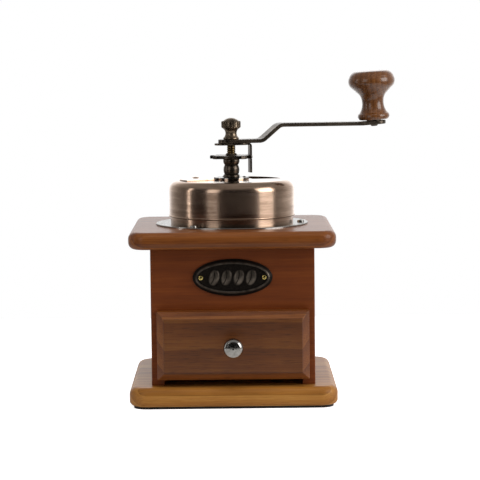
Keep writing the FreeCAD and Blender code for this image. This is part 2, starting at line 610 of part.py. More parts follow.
# ---------------------------------------------------------------- hopper
def make_hopper():
    skirt_r = DOME_R - SKIRT_STEP
    collar_r = skirt_r - SHEET
    ring = turned((RING_R, Z_DECK), (RING_R, Z_RING - 0.4),
                  (RING_R - 0.12, Z_RING - 0.12, RING_R - 0.4, Z_RING),
                  (collar_r, Z_RING), (collar_r, Z_DECK + COLLAR_HEIGHT),
                  (collar_r - SHEET, Z_DECK + COLLAR_HEIGHT),
                  (collar_r - SHEET, Z_DECK))
    bolts = []
    for angle in HOPPER_SCREW_ANGLES:
        x, y = polar(HOPPER_SCREW_CIRCLE_R, angle)
        ring = ring.cut(rod(PLATE_SCREW_R + TIGHT, Z_DECK - 1, Z_RING + 1, x, y))
        bolt = screw(PLATE_SCREW_HEAD_R, PLATE_SCREW_HEAD, PLATE_SCREW_R, PLATE_SCREW_LENGTH)
        bolts.append(moved(spun(bolt, angle + 20), x, y, Z_RING))
    keep("hopper_base_ring", ring)
    keep("hopper_screws", *bolts)

    inside = DOME_R - SHEET
    skirt_in = collar_r + TIGHT
    bend = DOME_SHOULDER
    inner_bend = bend - SHEET
    k = math.cos(math.radians(45))
    under = Z_DOME - SHEET
    bead = Z_DOME_FOOT + SKIRT_HEIGHT
    bead_top = bead + DOME_BEAD_HEIGHT
    bead_r = DOME_R + DOME_BEAD_RISE
    dome = turned((skirt_in, Z_DOME_FOOT), (skirt_r, Z_DOME_FOOT), (skirt_r, bead - 0.4), (DOME_R, bead),
                  (bead_r, bead + DOME_BEAD_HEIGHT / 2, DOME_R, bead_top), (DOME_R, Z_DOME - bend),
                  (DOME_R - bend + bend * k, Z_DOME - bend + bend * k, DOME_R - bend, Z_DOME),
                  (SPIGOT_R + TIGHT, Z_DOME), (SPIGOT_R + TIGHT, under), (inside - inner_bend, under),
                  (inside - inner_bend * (1 - k), under - inner_bend * (1 - k), inside, under - inner_bend),
                  (inside, bead_top), (skirt_in, bead_top - SKIRT_STEP))
    feed = tube(FEED_R_OUT, FEED_R_IN, under - 1, Z_DOME + 1)
    feed = feed.common(wedge(FEED_R_OUT + 5, FEED_START, FEED_SPAN, under - 1, Z_DOME + 1))
    dome = dome.cut(feed)
    boss_top = Z_DOME + LID_THICK + 2 * LID_PLAY
    retainer = tube(BOSS_R, BOSS_R_IN, Z_DOME, boss_top)
    cover = tube(RETAINER_R, BOSS_R_IN, boss_top, boss_top + RETAINER_THICK)
    retainer = retainer.fuse(cover).removeSplitter()
    rivets = []
    for i in range(3):
        x, y = polar(RIVET_CIRCLE_R, 5 + 120 * i)
        hole = rod(RIVET_R + TIGHT, under - 1, boss_top + 2, x, y)
        dome = dome.cut(hole)
        retainer = retainer.cut(hole)
        top = boss_top + RETAINER_THICK
        stem = turned((0, under - 0.5), (1.5 * RIVET_R, under - 0.5),
                      (1.5 * RIVET_R, under), (RIVET_R, under),
                      (RIVET_R, top), (1.6 * RIVET_R, top), crown(1.6 * RIVET_R, top, top + 0.6))
        rivets.append(moved(stem, x, y))
    keep("hopper_dome", dome)
    keep("lid_retainer", retainer)
    keep("retainer_rivets", *rivets)

    lid_start = FEED_START - LID_OVERLAP_DEG + LID_SWING
    lid_span = FEED_SPAN + 2 * LID_OVERLAP_DEG
    z0 = Z_DOME + LID_PLAY
    lid = tube(LID_R_OUT, BOSS_R + 0.15, z0, z0 + LID_THICK)
    ring_part = tube(RETAINER_R - 0.2, BOSS_R + 0.15, z0, z0 + LID_THICK)
    lid = lid.common(wedge(LID_R_OUT + 5, lid_start, lid_span, z0 - 1, z0 + 5))
    lid = lid.fuse(ring_part).removeSplitter()
    x, y = polar(0.72 * LID_R_OUT, lid_start + 0.5 * lid_span)
    lid_top = z0 + LID_THICK
    grip = turned((0, lid_top), (LID_GRIP_R, lid_top), crown(LID_GRIP_R, lid_top, lid_top + LID_GRIP_RISE))
    keep("hopper_lid", lid.fuse(moved(grip, x, y)).removeSplitter())


def wedge(radius, start, span, z0, z1):
    corners = [Vec(0, 0, z0)]
    steps = 6
    for i in range(steps + 1):
        x, y = polar(radius / math.cos(math.radians(span / steps / 2)), start + span * i / steps)
        corners.append(Vec(x, y, z0))
    corners.append(corners[0])
    return Part.Face(Part.makePolygon(corners)).extrude(Vec(0, 0, z1 - z0))


# ---------------------------------------------------------------- bridge and bearing column
def make_bridge():
    under = Z_DOME - SHEET
    middle = under - BRIDGE_THICK / 2
    foot = Z_DECK + HOUSING_FLANGE + BRIDGE_THICK / 2
    reach = BRIDGE_REACH
    toe = MOUTH_R + 0.5
    points = [(-toe, foot), (-reach, foot), (-reach, middle), (reach, middle), (reach, foot), (toe, foot)]
    strip = strap_two_bends(points)
    strip = strip.cut(rod(SPIGOT_R + TIGHT, middle - 5, middle + 5))
    bolts = []
    for x in (-bridge_screw_r, bridge_screw_r):
        strip = strip.cut(rod(PLATE_SCREW_R + TIGHT, foot - 3, foot + 3, x))
        bolt = screw(PLATE_SCREW_HEAD_R, PLATE_SCREW_HEAD, PLATE_SCREW_R, PLATE_SCREW_LENGTH)
        bolts.append(spun(moved(bolt, x, 0, foot + BRIDGE_THICK / 2), BRIDGE_ANGLE))
    for i in range(3):
        x, y = polar(RIVET_CIRCLE_R, 5 + 120 * i - BRIDGE_ANGLE)
        strip = strip.cut(rod(1.5 * RIVET_R + RUN, middle - 5, middle + 5, x, y))
    keep("bridge_bracket", spun(strip, BRIDGE_ANGLE))
    keep("bridge_screws", *bolts)

    olive_mid = Z_OLIVE + 0.55 * COLUMN_OLIVE_HEIGHT
    nut_top = under - BRIDGE_THICK
    tail = nut_top - COLUMN_NUT_HEIGHT - 1.5
    bore = SHAFT_R + RUN
    step = 0.5 * COLUMN_RING_HEIGHT
    column = turned((bore, tail), (SPIGOT_R, tail), (SPIGOT_R, Z_DOME), (COLUMN_RING_R, Z_DOME),
                    (COLUMN_RING_R, Z_DOME + step - 0.2), (COLUMN_RING_R - 0.35, Z_DOME + step),
                    (COLUMN_RING_R, Z_DOME + step + 0.2), (COLUMN_RING_R, Z_OLIVE - 0.5),
                    (COLUMN_RING_R - 0.5, Z_OLIVE), (COLUMN_OLIVE_R - 0.9, Z_OLIVE),
                    (COLUMN_OLIVE_R, olive_mid, COLUMN_OLIVE_R - 1.0, Z_COLUMN), (bore, Z_COLUMN))
    keep("bearing_column", column)
    nut = hexagon(COLUMN_NUT_FLATS, nut_top - COLUMN_NUT_HEIGHT, nut_top)
    keep("column_nut", nut.cut(rod(SPIGOT_R + TIGHT, 0, 2 * nut_top)))


def strap_two_bends(points):
    """Bridge strip: gentle bends at the top, tight ones at the feet."""
    upper = strap([points[1], points[2], points[3], points[4]], BRIDGE_THICK, BRIDGE_WIDTH, BRIDGE_BEND)
    pieces = [upper.common(box(-100, 100, -100, 100, points[1][1] + BRIDGE_FOOT_BEND, 2 * Z_DOME))]
    for sign in (-1, 1):
        x = sign * BRIDGE_REACH
        mid = points[1][1] + BRIDGE_FOOT_BEND
        leg = strap([(x, mid + 0.001), (x, points[1][1]), (sign * (MOUTH_R + 0.5), points[1][1])],
                    BRIDGE_THICK, BRIDGE_WIDTH, BRIDGE_FOOT_BEND)
        pieces.append(leg)
    return pieces[0].fuse(pieces[1:]).removeSplitter()


# ---------------------------------------------------------------- burrs
def make_burrs():
    top = Z_DECK + HOUSING_FLANGE
    z_funnel = Z_DECK - FUNNEL_DEPTH
    outer = TOP_HOLE_R - 0.5
    wall_r = BURR_OUTER_R + HOUSING_WALL
    lip_r = BURR_OUTER_R - BURR_LIP
    housing = turned((HOUSING_FLANGE_R, Z_DECK), (HOUSING_FLANGE_R, top), (MOUTH_R, top),
                     (BURR_OUTER_R + TIGHT, z_funnel), (BURR_OUTER_R + TIGHT, Z_BURR), (lip_r, Z_BURR),
                     (lip_r, Z_HOUSING), (wall_r, Z_HOUSING), (wall_r, z_funnel - 5), (outer, Z_TOP - 4),
                     (outer, Z_DECK))
    arms = box(0, outer - 1, -SPIDER_ARM_WIDTH / 2, SPIDER_ARM_WIDTH / 2, Z_SPIDER, Z_SPIDER_TOP)
    spider = rod(SPIDER_HUB_R, Z_SPIDER, Z_SPIDER_TOP).fuse(around(arms, 3, BRIDGE_ANGLE + 30))
    housing = housing.fuse(spider).removeSplitter().cut(rod(SHAFT_R + RUN, Z_SPIDER - 1, Z_SPIDER_TOP + 1))
    bolts = []
    for angle in bridge_angles + housing_angles:
        x, y = polar(bridge_screw_r, angle)
        housing = housing.cut(rod(PLATE_SCREW_R + TIGHT, Z_DECK - 1, top + 1, x, y))
    for angle in housing_angles:
        x, y = polar(bridge_screw_r, angle)
        bolt = screw(PLATE_SCREW_HEAD_R, PLATE_SCREW_HEAD, PLATE_SCREW_R, PLATE_SCREW_LENGTH)
        bolts.append(moved(spun(bolt, angle), x, y, top))
    keep("burr_housing", housing)
    keep("housing_screws", *bolts)

    ring = turned((BURR_OUTER_R, Z_BURR), (BURR_OUTER_R, Z_BURR_TOP),
                  (BURR_TOP_R + BURR_CHAMFER, Z_BURR_TOP),
                  (BURR_TOP_R, Z_BURR_TOP - BURR_CHAMFER), (BURR_BOTTOM_R, Z_BURR))
    lean = math.degrees(math.atan2(BURR_BOTTOM_R - BURR_TOP_R, BURR_HEIGHT))
    tooth = box(-0.55, 0.55, -0.55, 0.55, -0.7 * BURR_HEIGHT, 0.7 * BURR_HEIGHT)
    tooth = spun(spun(tooth, 45), -lean, Vec(0, 1, 0))
    middle_r = (BURR_TOP_R + BURR_BOTTOM_R) / 2
    tooth = moved(spun(tooth, 18, Vec(1, 0, 0)), middle_r, 0, Z_BURR + BURR_HEIGHT / 2)
    keep("outer_burr", ring.cut(Part.makeCompound(around(tooth, RING_FLUTES))))

    slope = (BURR_BOTTOM_R - BURR_TOP_R) / (BURR_HEIGHT - BURR_CHAMFER)
    foot_r = BURR_BOTTOM_R - BURR_GAP - slope * BURR_FOOT
    shoulder = Z_BURR_TOP + FREE
    cone = turned((SHAFT_R + TIGHT, Z_BURR), (foot_r, Z_BURR), (foot_r, Z_BURR + BURR_FOOT),
                  (CONE_TOP_R, shoulder), (SHAFT_R + TIGHT, shoulder))
    cone_lean = math.degrees(math.atan2(foot_r - CONE_TOP_R, BURR_HEIGHT))
    flute = spun(box(-1.6, 1.6, -1.6, 1.6, -0.7 * BURR_HEIGHT, 0.7 * BURR_HEIGHT), 45)
    flute = spun(spun(flute, -cone_lean, Vec(0, 1, 0)), -22, Vec(1, 0, 0))
    flute = moved(flute, (foot_r + CONE_TOP_R) / 2 + 1.6, 0, Z_BURR + BURR_HEIGHT / 2 + 1)
    keep("inner_burr", cone.cut(Part.makeCompound(around(flute, CONE_FLUTES))))


# ---------------------------------------------------------------- shaft train
def make_shaft():
    burr_top = Z_BURR_TOP + FREE
    z_washer = Z_BURR - WASHER_THICK
    z_nut = z_washer - BURR_NUT_HEIGHT
    end = Z_CAP + 0.78 * CAP_HEIGHT
    shaft = rod(SHAFT_R, z_nut - 1.5, end)
    shaft = shaft.fuse(rod(SHOULDER_R, burr_top, burr_top + SHOULDER_HEIGHT))
    sides = box(-2 * SHAFT_R, 2 * SHAFT_R, SHAFT_FLATS / 2, 2 * SHAFT_R, Z_LOCK, end + 1)
    shaft = shaft.cut(spun(sides, CRANK_ANGLE)).cut(spun(sides, CRANK_ANGLE + 180))
    grooves = []
    turns = int(ADJUST_TRAVEL / THREAD_PITCH)
    for i in range(turns):
        z = Z_NOSE + (i + 0.5) * ADJUST_TRAVEL / turns
        grooves.append(turned((SHAFT_R - THREAD_DEPTH, z), (SHAFT_R + 0.1, z - 0.45 * THREAD_PITCH),
                              (SHAFT_R + 0.1, z + 0.45 * THREAD_PITCH)))
    keep("main_shaft", shaft.cut(Part.makeCompound(grooves)).removeSplitter())
    keep("burr_washer", tube(2.4 * SHAFT_R, SHAFT_R + TIGHT, z_washer, Z_BURR))
    keep("burr_nut", hexagon(BURR_NUT_FLATS, z_nut, z_washer).cut(rod(SHAFT_R + TIGHT, 0, Z_BURR)))

    spring_foot = burr_top + SHOULDER_HEIGHT
    washer_foot = Z_SPIDER - WASHER_THICK - RUN
    washer_top = washer_foot + WASHER_THICK
    keep("spring_washer", tube(SPIDER_HUB_R - 0.5, SHAFT_R + TIGHT, washer_foot, washer_top))
    height = washer_foot - spring_foot - 2 * SPRING_WIRE_R - 0.1
    helix = Part.makeHelix(height / SPRING_TURNS, height, SPRING_R)
    wire = Part.Wire(Part.makeCircle(SPRING_WIRE_R, Vec(SPRING_R, 0, 0), Vec(0, 1, 0)))
    coil = Part.Wire(helix).makePipeShell([wire], True, True)
    keep("shaft_spring", moved(coil, 0, 0, spring_foot + SPRING_WIRE_R + 0.05))


def make_adjuster():
    bore = rod(SHAFT_R + TIGHT, 0, 2 * Z_CAP)
    disc_top = Z_WHEEL + WHEEL_THICK
    wheel = turned((0, Z_HUB), (HUB_R - 0.9, Z_HUB),
                   (HUB_R, Z_HUB + 0.45 * HUB_HEIGHT, HUB_R - 0.2, Z_WHEEL),
                   (WHEEL_R - 0.4, Z_WHEEL), (WHEEL_R, Z_WHEEL + 0.4), (WHEEL_R, disc_top - 0.4),
                   (WHEEL_R - 0.4, disc_top), (HUB_R - 1.4, disc_top), (HUB_R - 2.3, Z_NOSE), (0, Z_NOSE))
    notch = box(NOTCH_R, WHEEL_R + 1, -NOTCH_WIDTH / 2, NOTCH_WIDTH / 2, Z_WHEEL - 1, disc_top + 1)
    wheel = wheel.cut(Part.makeCompound(around(notch, WHEEL_NOTCHES, CRANK_ANGLE))).cut(bore)
    keep("adjusting_wheel", wheel)

    z = Z_LOCK + LOCK_THICK / 2
    bend = 0.5 * LOCK_THICK + 1.0
    bent_line = [(-LOCK_BACK, z), (FINGER_R, z), (FINGER_R, Z_ARM - FINGER_DROP)]
    plate = strap(bent_line, LOCK_THICK, LOCK_WIDTH, bend)
    shape = stadium(-LOCK_BACK, LOCK_WIDTH + 1.0, LOCK_WIDTH, 0, 2 * Z_ARM)
    tongue = box(0, FINGER_R + 5, -FINGER_WIDTH / 2, FINGER_WIDTH / 2, 0, 2 * Z_ARM)
    plate = softened(plate.common(shape.fuse(tongue)), LOCK_EDGE)
    plate = plate.cut(flatted(SHAFT_R + TIGHT, SHAFT_FLATS + 2 * TIGHT, 0, 2 * Z_ARM))
    keep("lock_plate", spun(plate, CRANK_ANGLE))


def arm_line():
    """Middle line of the crank arm in the plane of the crank, and its middle height at the knob."""
    z = Z_ARM + ARM_THICK / 2
    lean = math.tan(math.radians(KNOB_LEAN))
    pad_z = z + ARM_STEP + ARM_RISE
    points = [(-ARM_BACK, z), (ARM_BEND_IN, z), (ARM_BEND_OUT, z + ARM_STEP), (ARM_PAD_START, pad_z),
              (ARM_END, pad_z + lean * (ARM_END - ARM_PAD_START))]
    return points, pad_z + lean * (CRANK_RADIUS - ARM_PAD_START)


def on_knob_axis(shape):
    """Places a shape built on Z, with z = 0 at the arm's middle line, on the leaning knob axis."""
    leaning = spun(shape, -KNOB_LEAN, Vec(0, 1, 0))
    return spun(moved(leaning, CRANK_RADIUS, 0, arm_line()[1]), CRANK_ANGLE)


def make_crank():
    points = arm_line()[0]
    arm = strap(points, ARM_THICK, ARM_WIDTH, ARM_BEND_R)
    arm = arm.common(stadium(-ARM_BACK, ARM_END, ARM_WIDTH, Z_ARM - 5, 2 * Z_ARM))
    arm = softened(arm, ARM_EDGE)
    arm = arm.cut(flatted(SHAFT_R + TIGHT, SHAFT_FLATS + 2 * TIGHT, 0, 2 * Z_ARM))
    arm = spun(arm, CRANK_ANGLE).cut(on_knob_axis(rod(AXLE_R + TIGHT, -10, 10)))
    keep("crank_arm", arm)

    z = Z_CAP
    top = z + CAP_HEIGHT
    band = 4.6
    cap = turned((0, z), (CAP_FLANGE_R, z), (CAP_FLANGE_R + 0.3, z + 0.8, CAP_FLANGE_R - 0.3, z + 1.7),
                 (CAP_WAIST_R + 0.2, z + 2.4), (CAP_WAIST_R - 0.3, z + 5.2, CAP_WAIST_R + 0.9, z + 7.6),
                 (CAP_HEAD_R - 0.5, z + 8.6), (CAP_HEAD_R, z + 9.2), (CAP_HEAD_R, z + 9.2 + band - 0.6),
                 (CAP_HEAD_R - 0.6, z + 9.2 + band), (5.8, z + 9.2 + band), crown(5.8, z + 9.2 + band, top))
    flute = rod(CAP_FLUTE_R, z + 7.8, z + 9.4 + band, CAP_HEAD_R + 0.1)
    cap = cap.cut(Part.makeCompound(around(flute, CAP_FLUTES)))
    cap = cap.cut(rod(SHAFT_R + TIGHT, 0, Z_CAP + 0.8 * CAP_HEIGHT))
    keep("cap_nut", cap)


def make_crank_knob():
    seat = ARM_THICK / 2
    foot = seat + KNOB_WASHER_THICK + RUN
    height = CRANK_KNOB_HEIGHT
    foot_r = CRANK_KNOB_FOOT_R
    waist_r = CRANK_KNOB_WAIST_R
    head_r = CRANK_KNOB_R
    knob = turned((0, foot), (foot_r - 1.2, foot), (foot_r + 0.15, foot + 2.4, foot_r - 0.5, foot + 4.4),
                  (foot_r - 1.5, foot + 5.3), (waist_r + 0.2, foot + 10.4, waist_r + 0.1, foot + 14.2),
                  (waist_r + 0.9, foot + 17.4, waist_r + 3.0, foot + 20.2), (head_r - 2.6, foot + 24.0),
                  (head_r, foot + 28.8, head_r - 0.9, foot + 32.6),
                  (head_r - 2.9, foot + 35.5, head_r - 7.2, foot + height - 0.5), (0, foot + height))
    well = foot + AXLE_LENGTH
    plug_z = foot + height - KNOB_PLUG_HEIGHT
    knob = knob.cut(rod(AXLE_R + 2 * RUN, foot - 1, well + 1))
    knob = knob.cut(rod(AXLE_HEAD_R + FREE, well, plug_z + 0.1))
    plug_space = rod(KNOB_PLUG_R + TIGHT, plug_z, foot + height + 5)
    plug = knob.common(rod(KNOB_PLUG_R, plug_z, foot + height + 5))
    keep("knob_plug", on_knob_axis(plug))
    keep("handle_knob", on_knob_axis(knob.cut(plug_space)))

    tail = turned((0, -seat), (AXLE_RIVET_R, -seat), (AXLE_RIVET_R, -seat - 0.4 * AXLE_RIVET_HEIGHT),
                  (0.8 * AXLE_RIVET_R, -seat - AXLE_RIVET_HEIGHT), (0, -seat - AXLE_RIVET_HEIGHT))
    head = rod(AXLE_HEAD_R, well + RUN, well + RUN + AXLE_HEAD_HEIGHT)
    axle = rod(AXLE_R, -seat - 0.1, well + RUN).fuse([head, tail])
    keep("knob_axle", on_knob_axis(axle.removeSplitter()))
    keep("knob_washer", on_knob_axis(tube(KNOB_WASHER_R, AXLE_R + TIGHT, seat, seat + KNOB_WASHER_THICK)))


make_case()
make_plaque()
make_drawer()
make_hopper()
make_bridge()
make_burrs()
make_shaft()
make_adjuster()
make_crank()
make_crank_knob()

os.makedirs("parts", exist_ok=True)
for name, shape in NODES.items():
    shape.exportStep("parts/" + name + ".step")
    print(name, len(shape.Solids), shape.isValid(), round(shape.Volume, 1))
print("nodes", len(NODES), "crank knob axis height", round(arm_line()[1], 3))
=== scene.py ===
import json
import math

import bpy
from mathutils import Matrix, Vector

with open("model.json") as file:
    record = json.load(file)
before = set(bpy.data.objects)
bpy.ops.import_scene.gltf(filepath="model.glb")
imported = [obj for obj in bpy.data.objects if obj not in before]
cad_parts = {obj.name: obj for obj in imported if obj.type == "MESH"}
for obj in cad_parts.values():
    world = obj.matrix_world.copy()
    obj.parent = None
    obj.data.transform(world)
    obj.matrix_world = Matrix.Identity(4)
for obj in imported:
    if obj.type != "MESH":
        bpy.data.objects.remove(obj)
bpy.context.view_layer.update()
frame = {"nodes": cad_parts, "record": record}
NODES = frame["nodes"]

# Camera: a long lens a little above the mill, about 1.5 m in front of it
CAMERA_PLACE = Vector((0.0020, -1.48162, 0.25551))
CAMERA_PITCH = 0.0944
CAMERA_YAW = 0.0026
CAMERA_ROLL = -0.0106
LENS_MM = 148.38
SENSOR_MM = 36.0

# Half the side of the pale table top; past its edge polished metal mirrors the room
TABLE_HALF = 0.42
TABLE_GLOW = 0.8         # lifts the table to the white of its surroundings, for the camera alone

# Places on the mill where a finish changes
DOME_WALL_TOP = 0.155    # brushed wall below, more polished top above
DOME_CROWN = 0.1615
PLAQUE_FIELD = -0.0623   # front of the plaque's sunken field
PLAQUE_PROUD = -0.0632   # front of its ridge and beans
# Lighter colour for the drawer front's bevels: partly a lighter stain on the cut bevels, partly a painted
# highlight in place of the light falling on them
BEVEL_STAIN_AND_HIGHLIGHT = (1.45, 1.4, 1.3, 1.0)


# ---------------------------------------------------------------- node helpers
def srgb(red, green, blue):
    """Linear colour, with alpha, from sRGB values of 0 to 255."""
    def linear(value):
        value /= 255.0
        return value / 12.92 if value <= 0.04045 else ((value + 0.055) / 1.055) ** 2.4
    return (linear(red), linear(green), linear(blue), 1.0)


def put(tree, value, socket):
    """Links a socket, or sets a constant."""
    if isinstance(value, bpy.types.NodeSocket):
        tree.links.new(value, socket)
    else:
        socket.default_value = value


def add(tree, kind, props=None, **inputs):
    node = tree.nodes.new("ShaderNode" + kind)
    for key, value in (props or {}).items():
        setattr(node, key, value)
    for key, value in inputs.items():
        socket = node.inputs[int(key[1:])] if key[1:].isdigit() else node.inputs[key.replace("_", " ")]
        put(tree, value, socket)
    return node


def maths(tree, operation, first, second=0.0, clamp=False):
    return add(tree, "Math", {"operation": operation, "use_clamp": clamp}, i0=first, i1=second).outputs[0]


def remap(tree, value, low, high, to_low=0.0, to_high=1.0):
    node = add(tree, "MapRange", {}, Value=value, From_Min=low, From_Max=high, To_Min=to_low, To_Max=to_high)
    return node.outputs[0]


def mix(tree, factor, first, second, blend="MIX"):
    node = add(tree, "Mix", {"data_type": "RGBA", "blend_type": blend})
    put(tree, factor, node.inputs[0])
    put(tree, first, node.inputs[6])
    put(tree, second, node.inputs[7])
    return node.outputs[2]


def ramp(tree, value, *stops):
    """Colour ramp from (position, colour) stops."""
    node = add(tree, "ValToRGB", {}, Fac=value)
    points = node.color_ramp.elements
    while len(points) < len(stops):
        points.new(0.5)
    for point, (position, colour) in zip(points, stops):
        point.position = position
        point.color = colour if not isinstance(colour, float) else (colour, colour, colour, 1.0)
    return node.outputs[0]


def noise(tree, vector, scale, detail=3.0, roughness=0.55, distortion=0.0):
    return add(tree, "TexNoise", {}, Vector=vector, Scale=scale, Detail=detail, Roughness=roughness,
               Distortion=distortion).outputs[0]


def stretched(tree, vector, scale, shift=(0.0, 0.0, 0.0)):
    return add(tree, "Mapping", {}, Vector=vector, Scale=scale, Location=shift).outputs[0]


def weighted(tree, layers):
    """Sum of (value, weight) pairs."""
    total = 0.0
    for value, weight in layers:
        total = add(tree, "Math", {"operation": "MULTIPLY_ADD"}, i0=value, i1=weight, i2=total).outputs[0]
    return total


def bump(tree, height, distance, strength=1.0):
    return add(tree, "Bump", {}, Height=height, Distance=distance, Strength=strength).outputs[0]


def material(name):
    made = bpy.data.materials.new(name)
    made.use_nodes = True
    tree = made.node_tree
    tree.nodes.clear()
    shader = add(tree, "BsdfPrincipled")
    output = add(tree, "OutputMaterial")
    tree.links.new(shader.outputs[0], output.inputs[0])
    return made, tree, shader


# ---------------------------------------------------------------- materials
def wood(name, along, dark, middle, light, pith=(0.0, 0.05, -0.12), ring_mm=5.0, figure=0.35, pores=0.22,
         roughness=0.45, coat=0.06, coat_roughness=0.3, gloss=0.22, shift=0.0, bevel_face=None):
    """Solid wood: growth rings round a pith line, streaks, fibres and pores that run along one axis."""
    made, tree, shader = material(name)
    place = add(tree, "TexCoord").outputs["Object"]
    split = add(tree, "SeparateXYZ", {}, Vector=place)
    order = {"X": (0, 1, 2), "Y": (1, 0, 2), "Z": (2, 0, 1)}[along]
    grain = add(tree, "CombineXYZ", {}, X=split.outputs[order[0]], Y=split.outputs[order[1]],
                Z=split.outputs[order[2]]).outputs[0]
    grain = stretched(tree, grain, (1.0, 1.0, 1.0), (shift + pith[0], -pith[1], -pith[2]))

    bend = noise(tree, stretched(tree, grain, (6.0, 14.0, 14.0)), 1.0, 2.0)
    rings = add(tree, "TexWave", {"wave_type": "RINGS", "rings_direction": "X", "wave_profile": "SAW"},
                Vector=stretched(tree, grain, (0.25, 1.0, 1.0)), Scale=314.0 / ring_mm, Distortion=2.2,
                Detail=2.0, Detail_Scale=0.35, Detail_Roughness=0.5).outputs["Fac"]
    streak = noise(tree, stretched(tree, grain, (5.0, 95.0, 95.0)), 1.0, 4.0, 0.6, 0.6)
    fibre = noise(tree, stretched(tree, grain, (28.0, 1100.0, 1100.0)), 1.0, 2.0, 0.6)
    pore = noise(tree, stretched(tree, grain, (110.0, 2300.0, 2300.0)), 1.0, 1.0, 0.4)
    pore = remap(tree, pore, 0.60, 0.70)
    blotch = noise(tree, grain, 26.0, 2.0, 0.5)

    layers = ((streak, 0.6), (rings, figure), (fibre, 0.6), (bend, 0.4), (blotch, 0.35))
    level = weighted(tree, layers)
    centre = 0.5 * sum(weight for _, weight in layers)
    level = remap(tree, level, centre - 0.42, centre + 0.42)
    colour = ramp(tree, level, (0.0, dark), (0.5, middle), (1.0, light))
    shade = maths(tree, "MULTIPLY", pore, pores)
    colour = mix(tree, shade, colour, tuple(0.35 * c for c in dark[:3]) + (1.0,))
    # Painted highlight and stain: the bevels round the drawer's face are made lighter than the face itself
    if bevel_face is not None:
        sunk = remap(tree, split.outputs[1], bevel_face + 0.0002, bevel_face + 0.0006)
        lighter = mix(tree, 1.0, colour, BEVEL_STAIN_AND_HIGHLIGHT, "MULTIPLY")
        colour = mix(tree, sunk, colour, lighter)
    put(tree, colour, shader.inputs["Base Color"])
    put(tree, remap(tree, fibre, 0.0, 1.0, roughness - 0.08, roughness + 0.08), shader.inputs["Roughness"])
    shader.inputs["Specular IOR Level"].default_value = gloss
    shader.inputs["Coat Weight"].default_value = coat
    shader.inputs["Coat Roughness"].default_value = coat_roughness
    height = maths(tree, "SUBTRACT", fibre, pore)
    put(tree, bump(tree, height, 0.00004, 0.5), shader.inputs["Normal"])
    return made


def turned_metal(name, dark, bright, roughness=0.23, streak=0.5, patina=0.3, anisotropic=0.7, lines=2600.0):
    """Metal brushed on a lathe: fine lines run round the shaft's axis."""
    made, tree, shader = material(name)
    place = add(tree, "TexCoord").outputs["Object"]
    split = add(tree, "SeparateXYZ", {}, Vector=place)
    flat = add(tree, "CombineXYZ", {}, X=split.outputs[0], Y=split.outputs[1], Z=0.0).outputs[0]
    radius = add(tree, "VectorMath", {"operation": "LENGTH"}, i0=flat).outputs["Value"]
    across = maths(tree, "SUBTRACT", split.outputs[2], radius)
    turn = maths(tree, "ARCTAN2", split.outputs[1], split.outputs[0])
    band = add(tree, "CombineXYZ", {}, X=maths(tree, "MULTIPLY", across, lines),
               Y=maths(tree, "MULTIPLY", turn, 1.2), Z=0.0).outputs[0]
    brush = noise(tree, band, 1.0, 4.0, 0.7)
    coarse = noise(tree, stretched(tree, band, (0.12, 1.0, 1.0)), 1.0, 3.0, 0.6)
    cloud = noise(tree, place, 45.0, 3.0, 0.6)
    level = weighted(tree, ((brush, streak), (coarse, 1.0 - streak), (cloud, patina)))
    colour = ramp(tree, maths(tree, "SUBTRACT", level, patina / 2), (0.3, dark), (0.7, bright))
    put(tree, colour, shader.inputs["Base Color"])
    polish = remap(tree, split.outputs[2], DOME_WALL_TOP, DOME_CROWN, 1.0, 0.45)
    put(tree, maths(tree, "MULTIPLY", remap(tree, brush, 0.2, 0.8, roughness + 0.06, roughness - 0.04), polish),
        shader.inputs["Roughness"])
    shader.inputs["Metallic"].default_value = 1.0
    shader.inputs["Anisotropic"].default_value = anisotropic
    shader.inputs["Anisotropic Rotation"].default_value = 0.25
    tangent = add(tree, "Tangent", {"direction_type": "RADIAL", "axis": "Z"})
    put(tree, tangent.outputs[0], shader.inputs["Tangent"])
    put(tree, bump(tree, brush, 0.00002, 0.35), shader.inputs["Normal"])
    return made


def worn_metal(name, base, worn, roughness=0.4, grain=900.0, spots=0.35, depth=0.00004, edge=1.0):
    """Plated or cast metal with a mottled finish."""
    made, tree, shader = material(name)
    place = add(tree, "TexCoord").outputs["Object"]
    fine = noise(tree, place, grain, 4.0, 0.65)
    cloud = noise(tree, place, 130.0, 4.0, 0.6)
    level = maths(tree, "ADD", maths(tree, "MULTIPLY", fine, spots), maths(tree, "MULTIPLY", cloud, 1.0 - spots))
    put(tree, ramp(tree, level, (0.38, base), (0.66, worn)), shader.inputs["Base Color"])
    put(tree, remap(tree, fine, 0.3, 0.7, roughness + 0.08, roughness - 0.08), shader.inputs["Roughness"])
    shader.inputs["Metallic"].default_value = 1.0
    shader.inputs["Specular Tint"].default_value = (edge, edge, edge, 1.0)
    put(tree, bump(tree, fine, depth, 0.6), shader.inputs["Normal"])
    return made


def raised_metal(name, deep, base, worn):
    """Cast plate facing the front: dark in its sunken field, rubbed bright on whatever stands proud."""
    made, tree, shader = material(name)
    place = add(tree, "TexCoord").outputs["Object"]
    grain = noise(tree, place, 1500.0, 4.0, 0.65)
    cloud = noise(tree, place, 160.0, 4.0, 0.6)
    height = add(tree, "SeparateXYZ", {}, Vector=place).outputs[1]
    proud = remap(tree, height, PLAQUE_FIELD, PLAQUE_PROUD)
    rubbed = maths(tree, "MULTIPLY", proud, remap(tree, cloud, 0.35, 0.6, 0.35, 1.0))
    colour = ramp(tree, grain, (0.35, deep), (0.65, base))
    put(tree, mix(tree, rubbed, colour, worn), shader.inputs["Base Color"])
    put(tree, remap(tree, rubbed, 0.0, 1.0, 0.52, 0.3), shader.inputs["Roughness"])
    shader.inputs["Metallic"].default_value = 1.0
    put(tree, bump(tree, grain, 0.00012, 0.6), shader.inputs["Normal"])
    return made
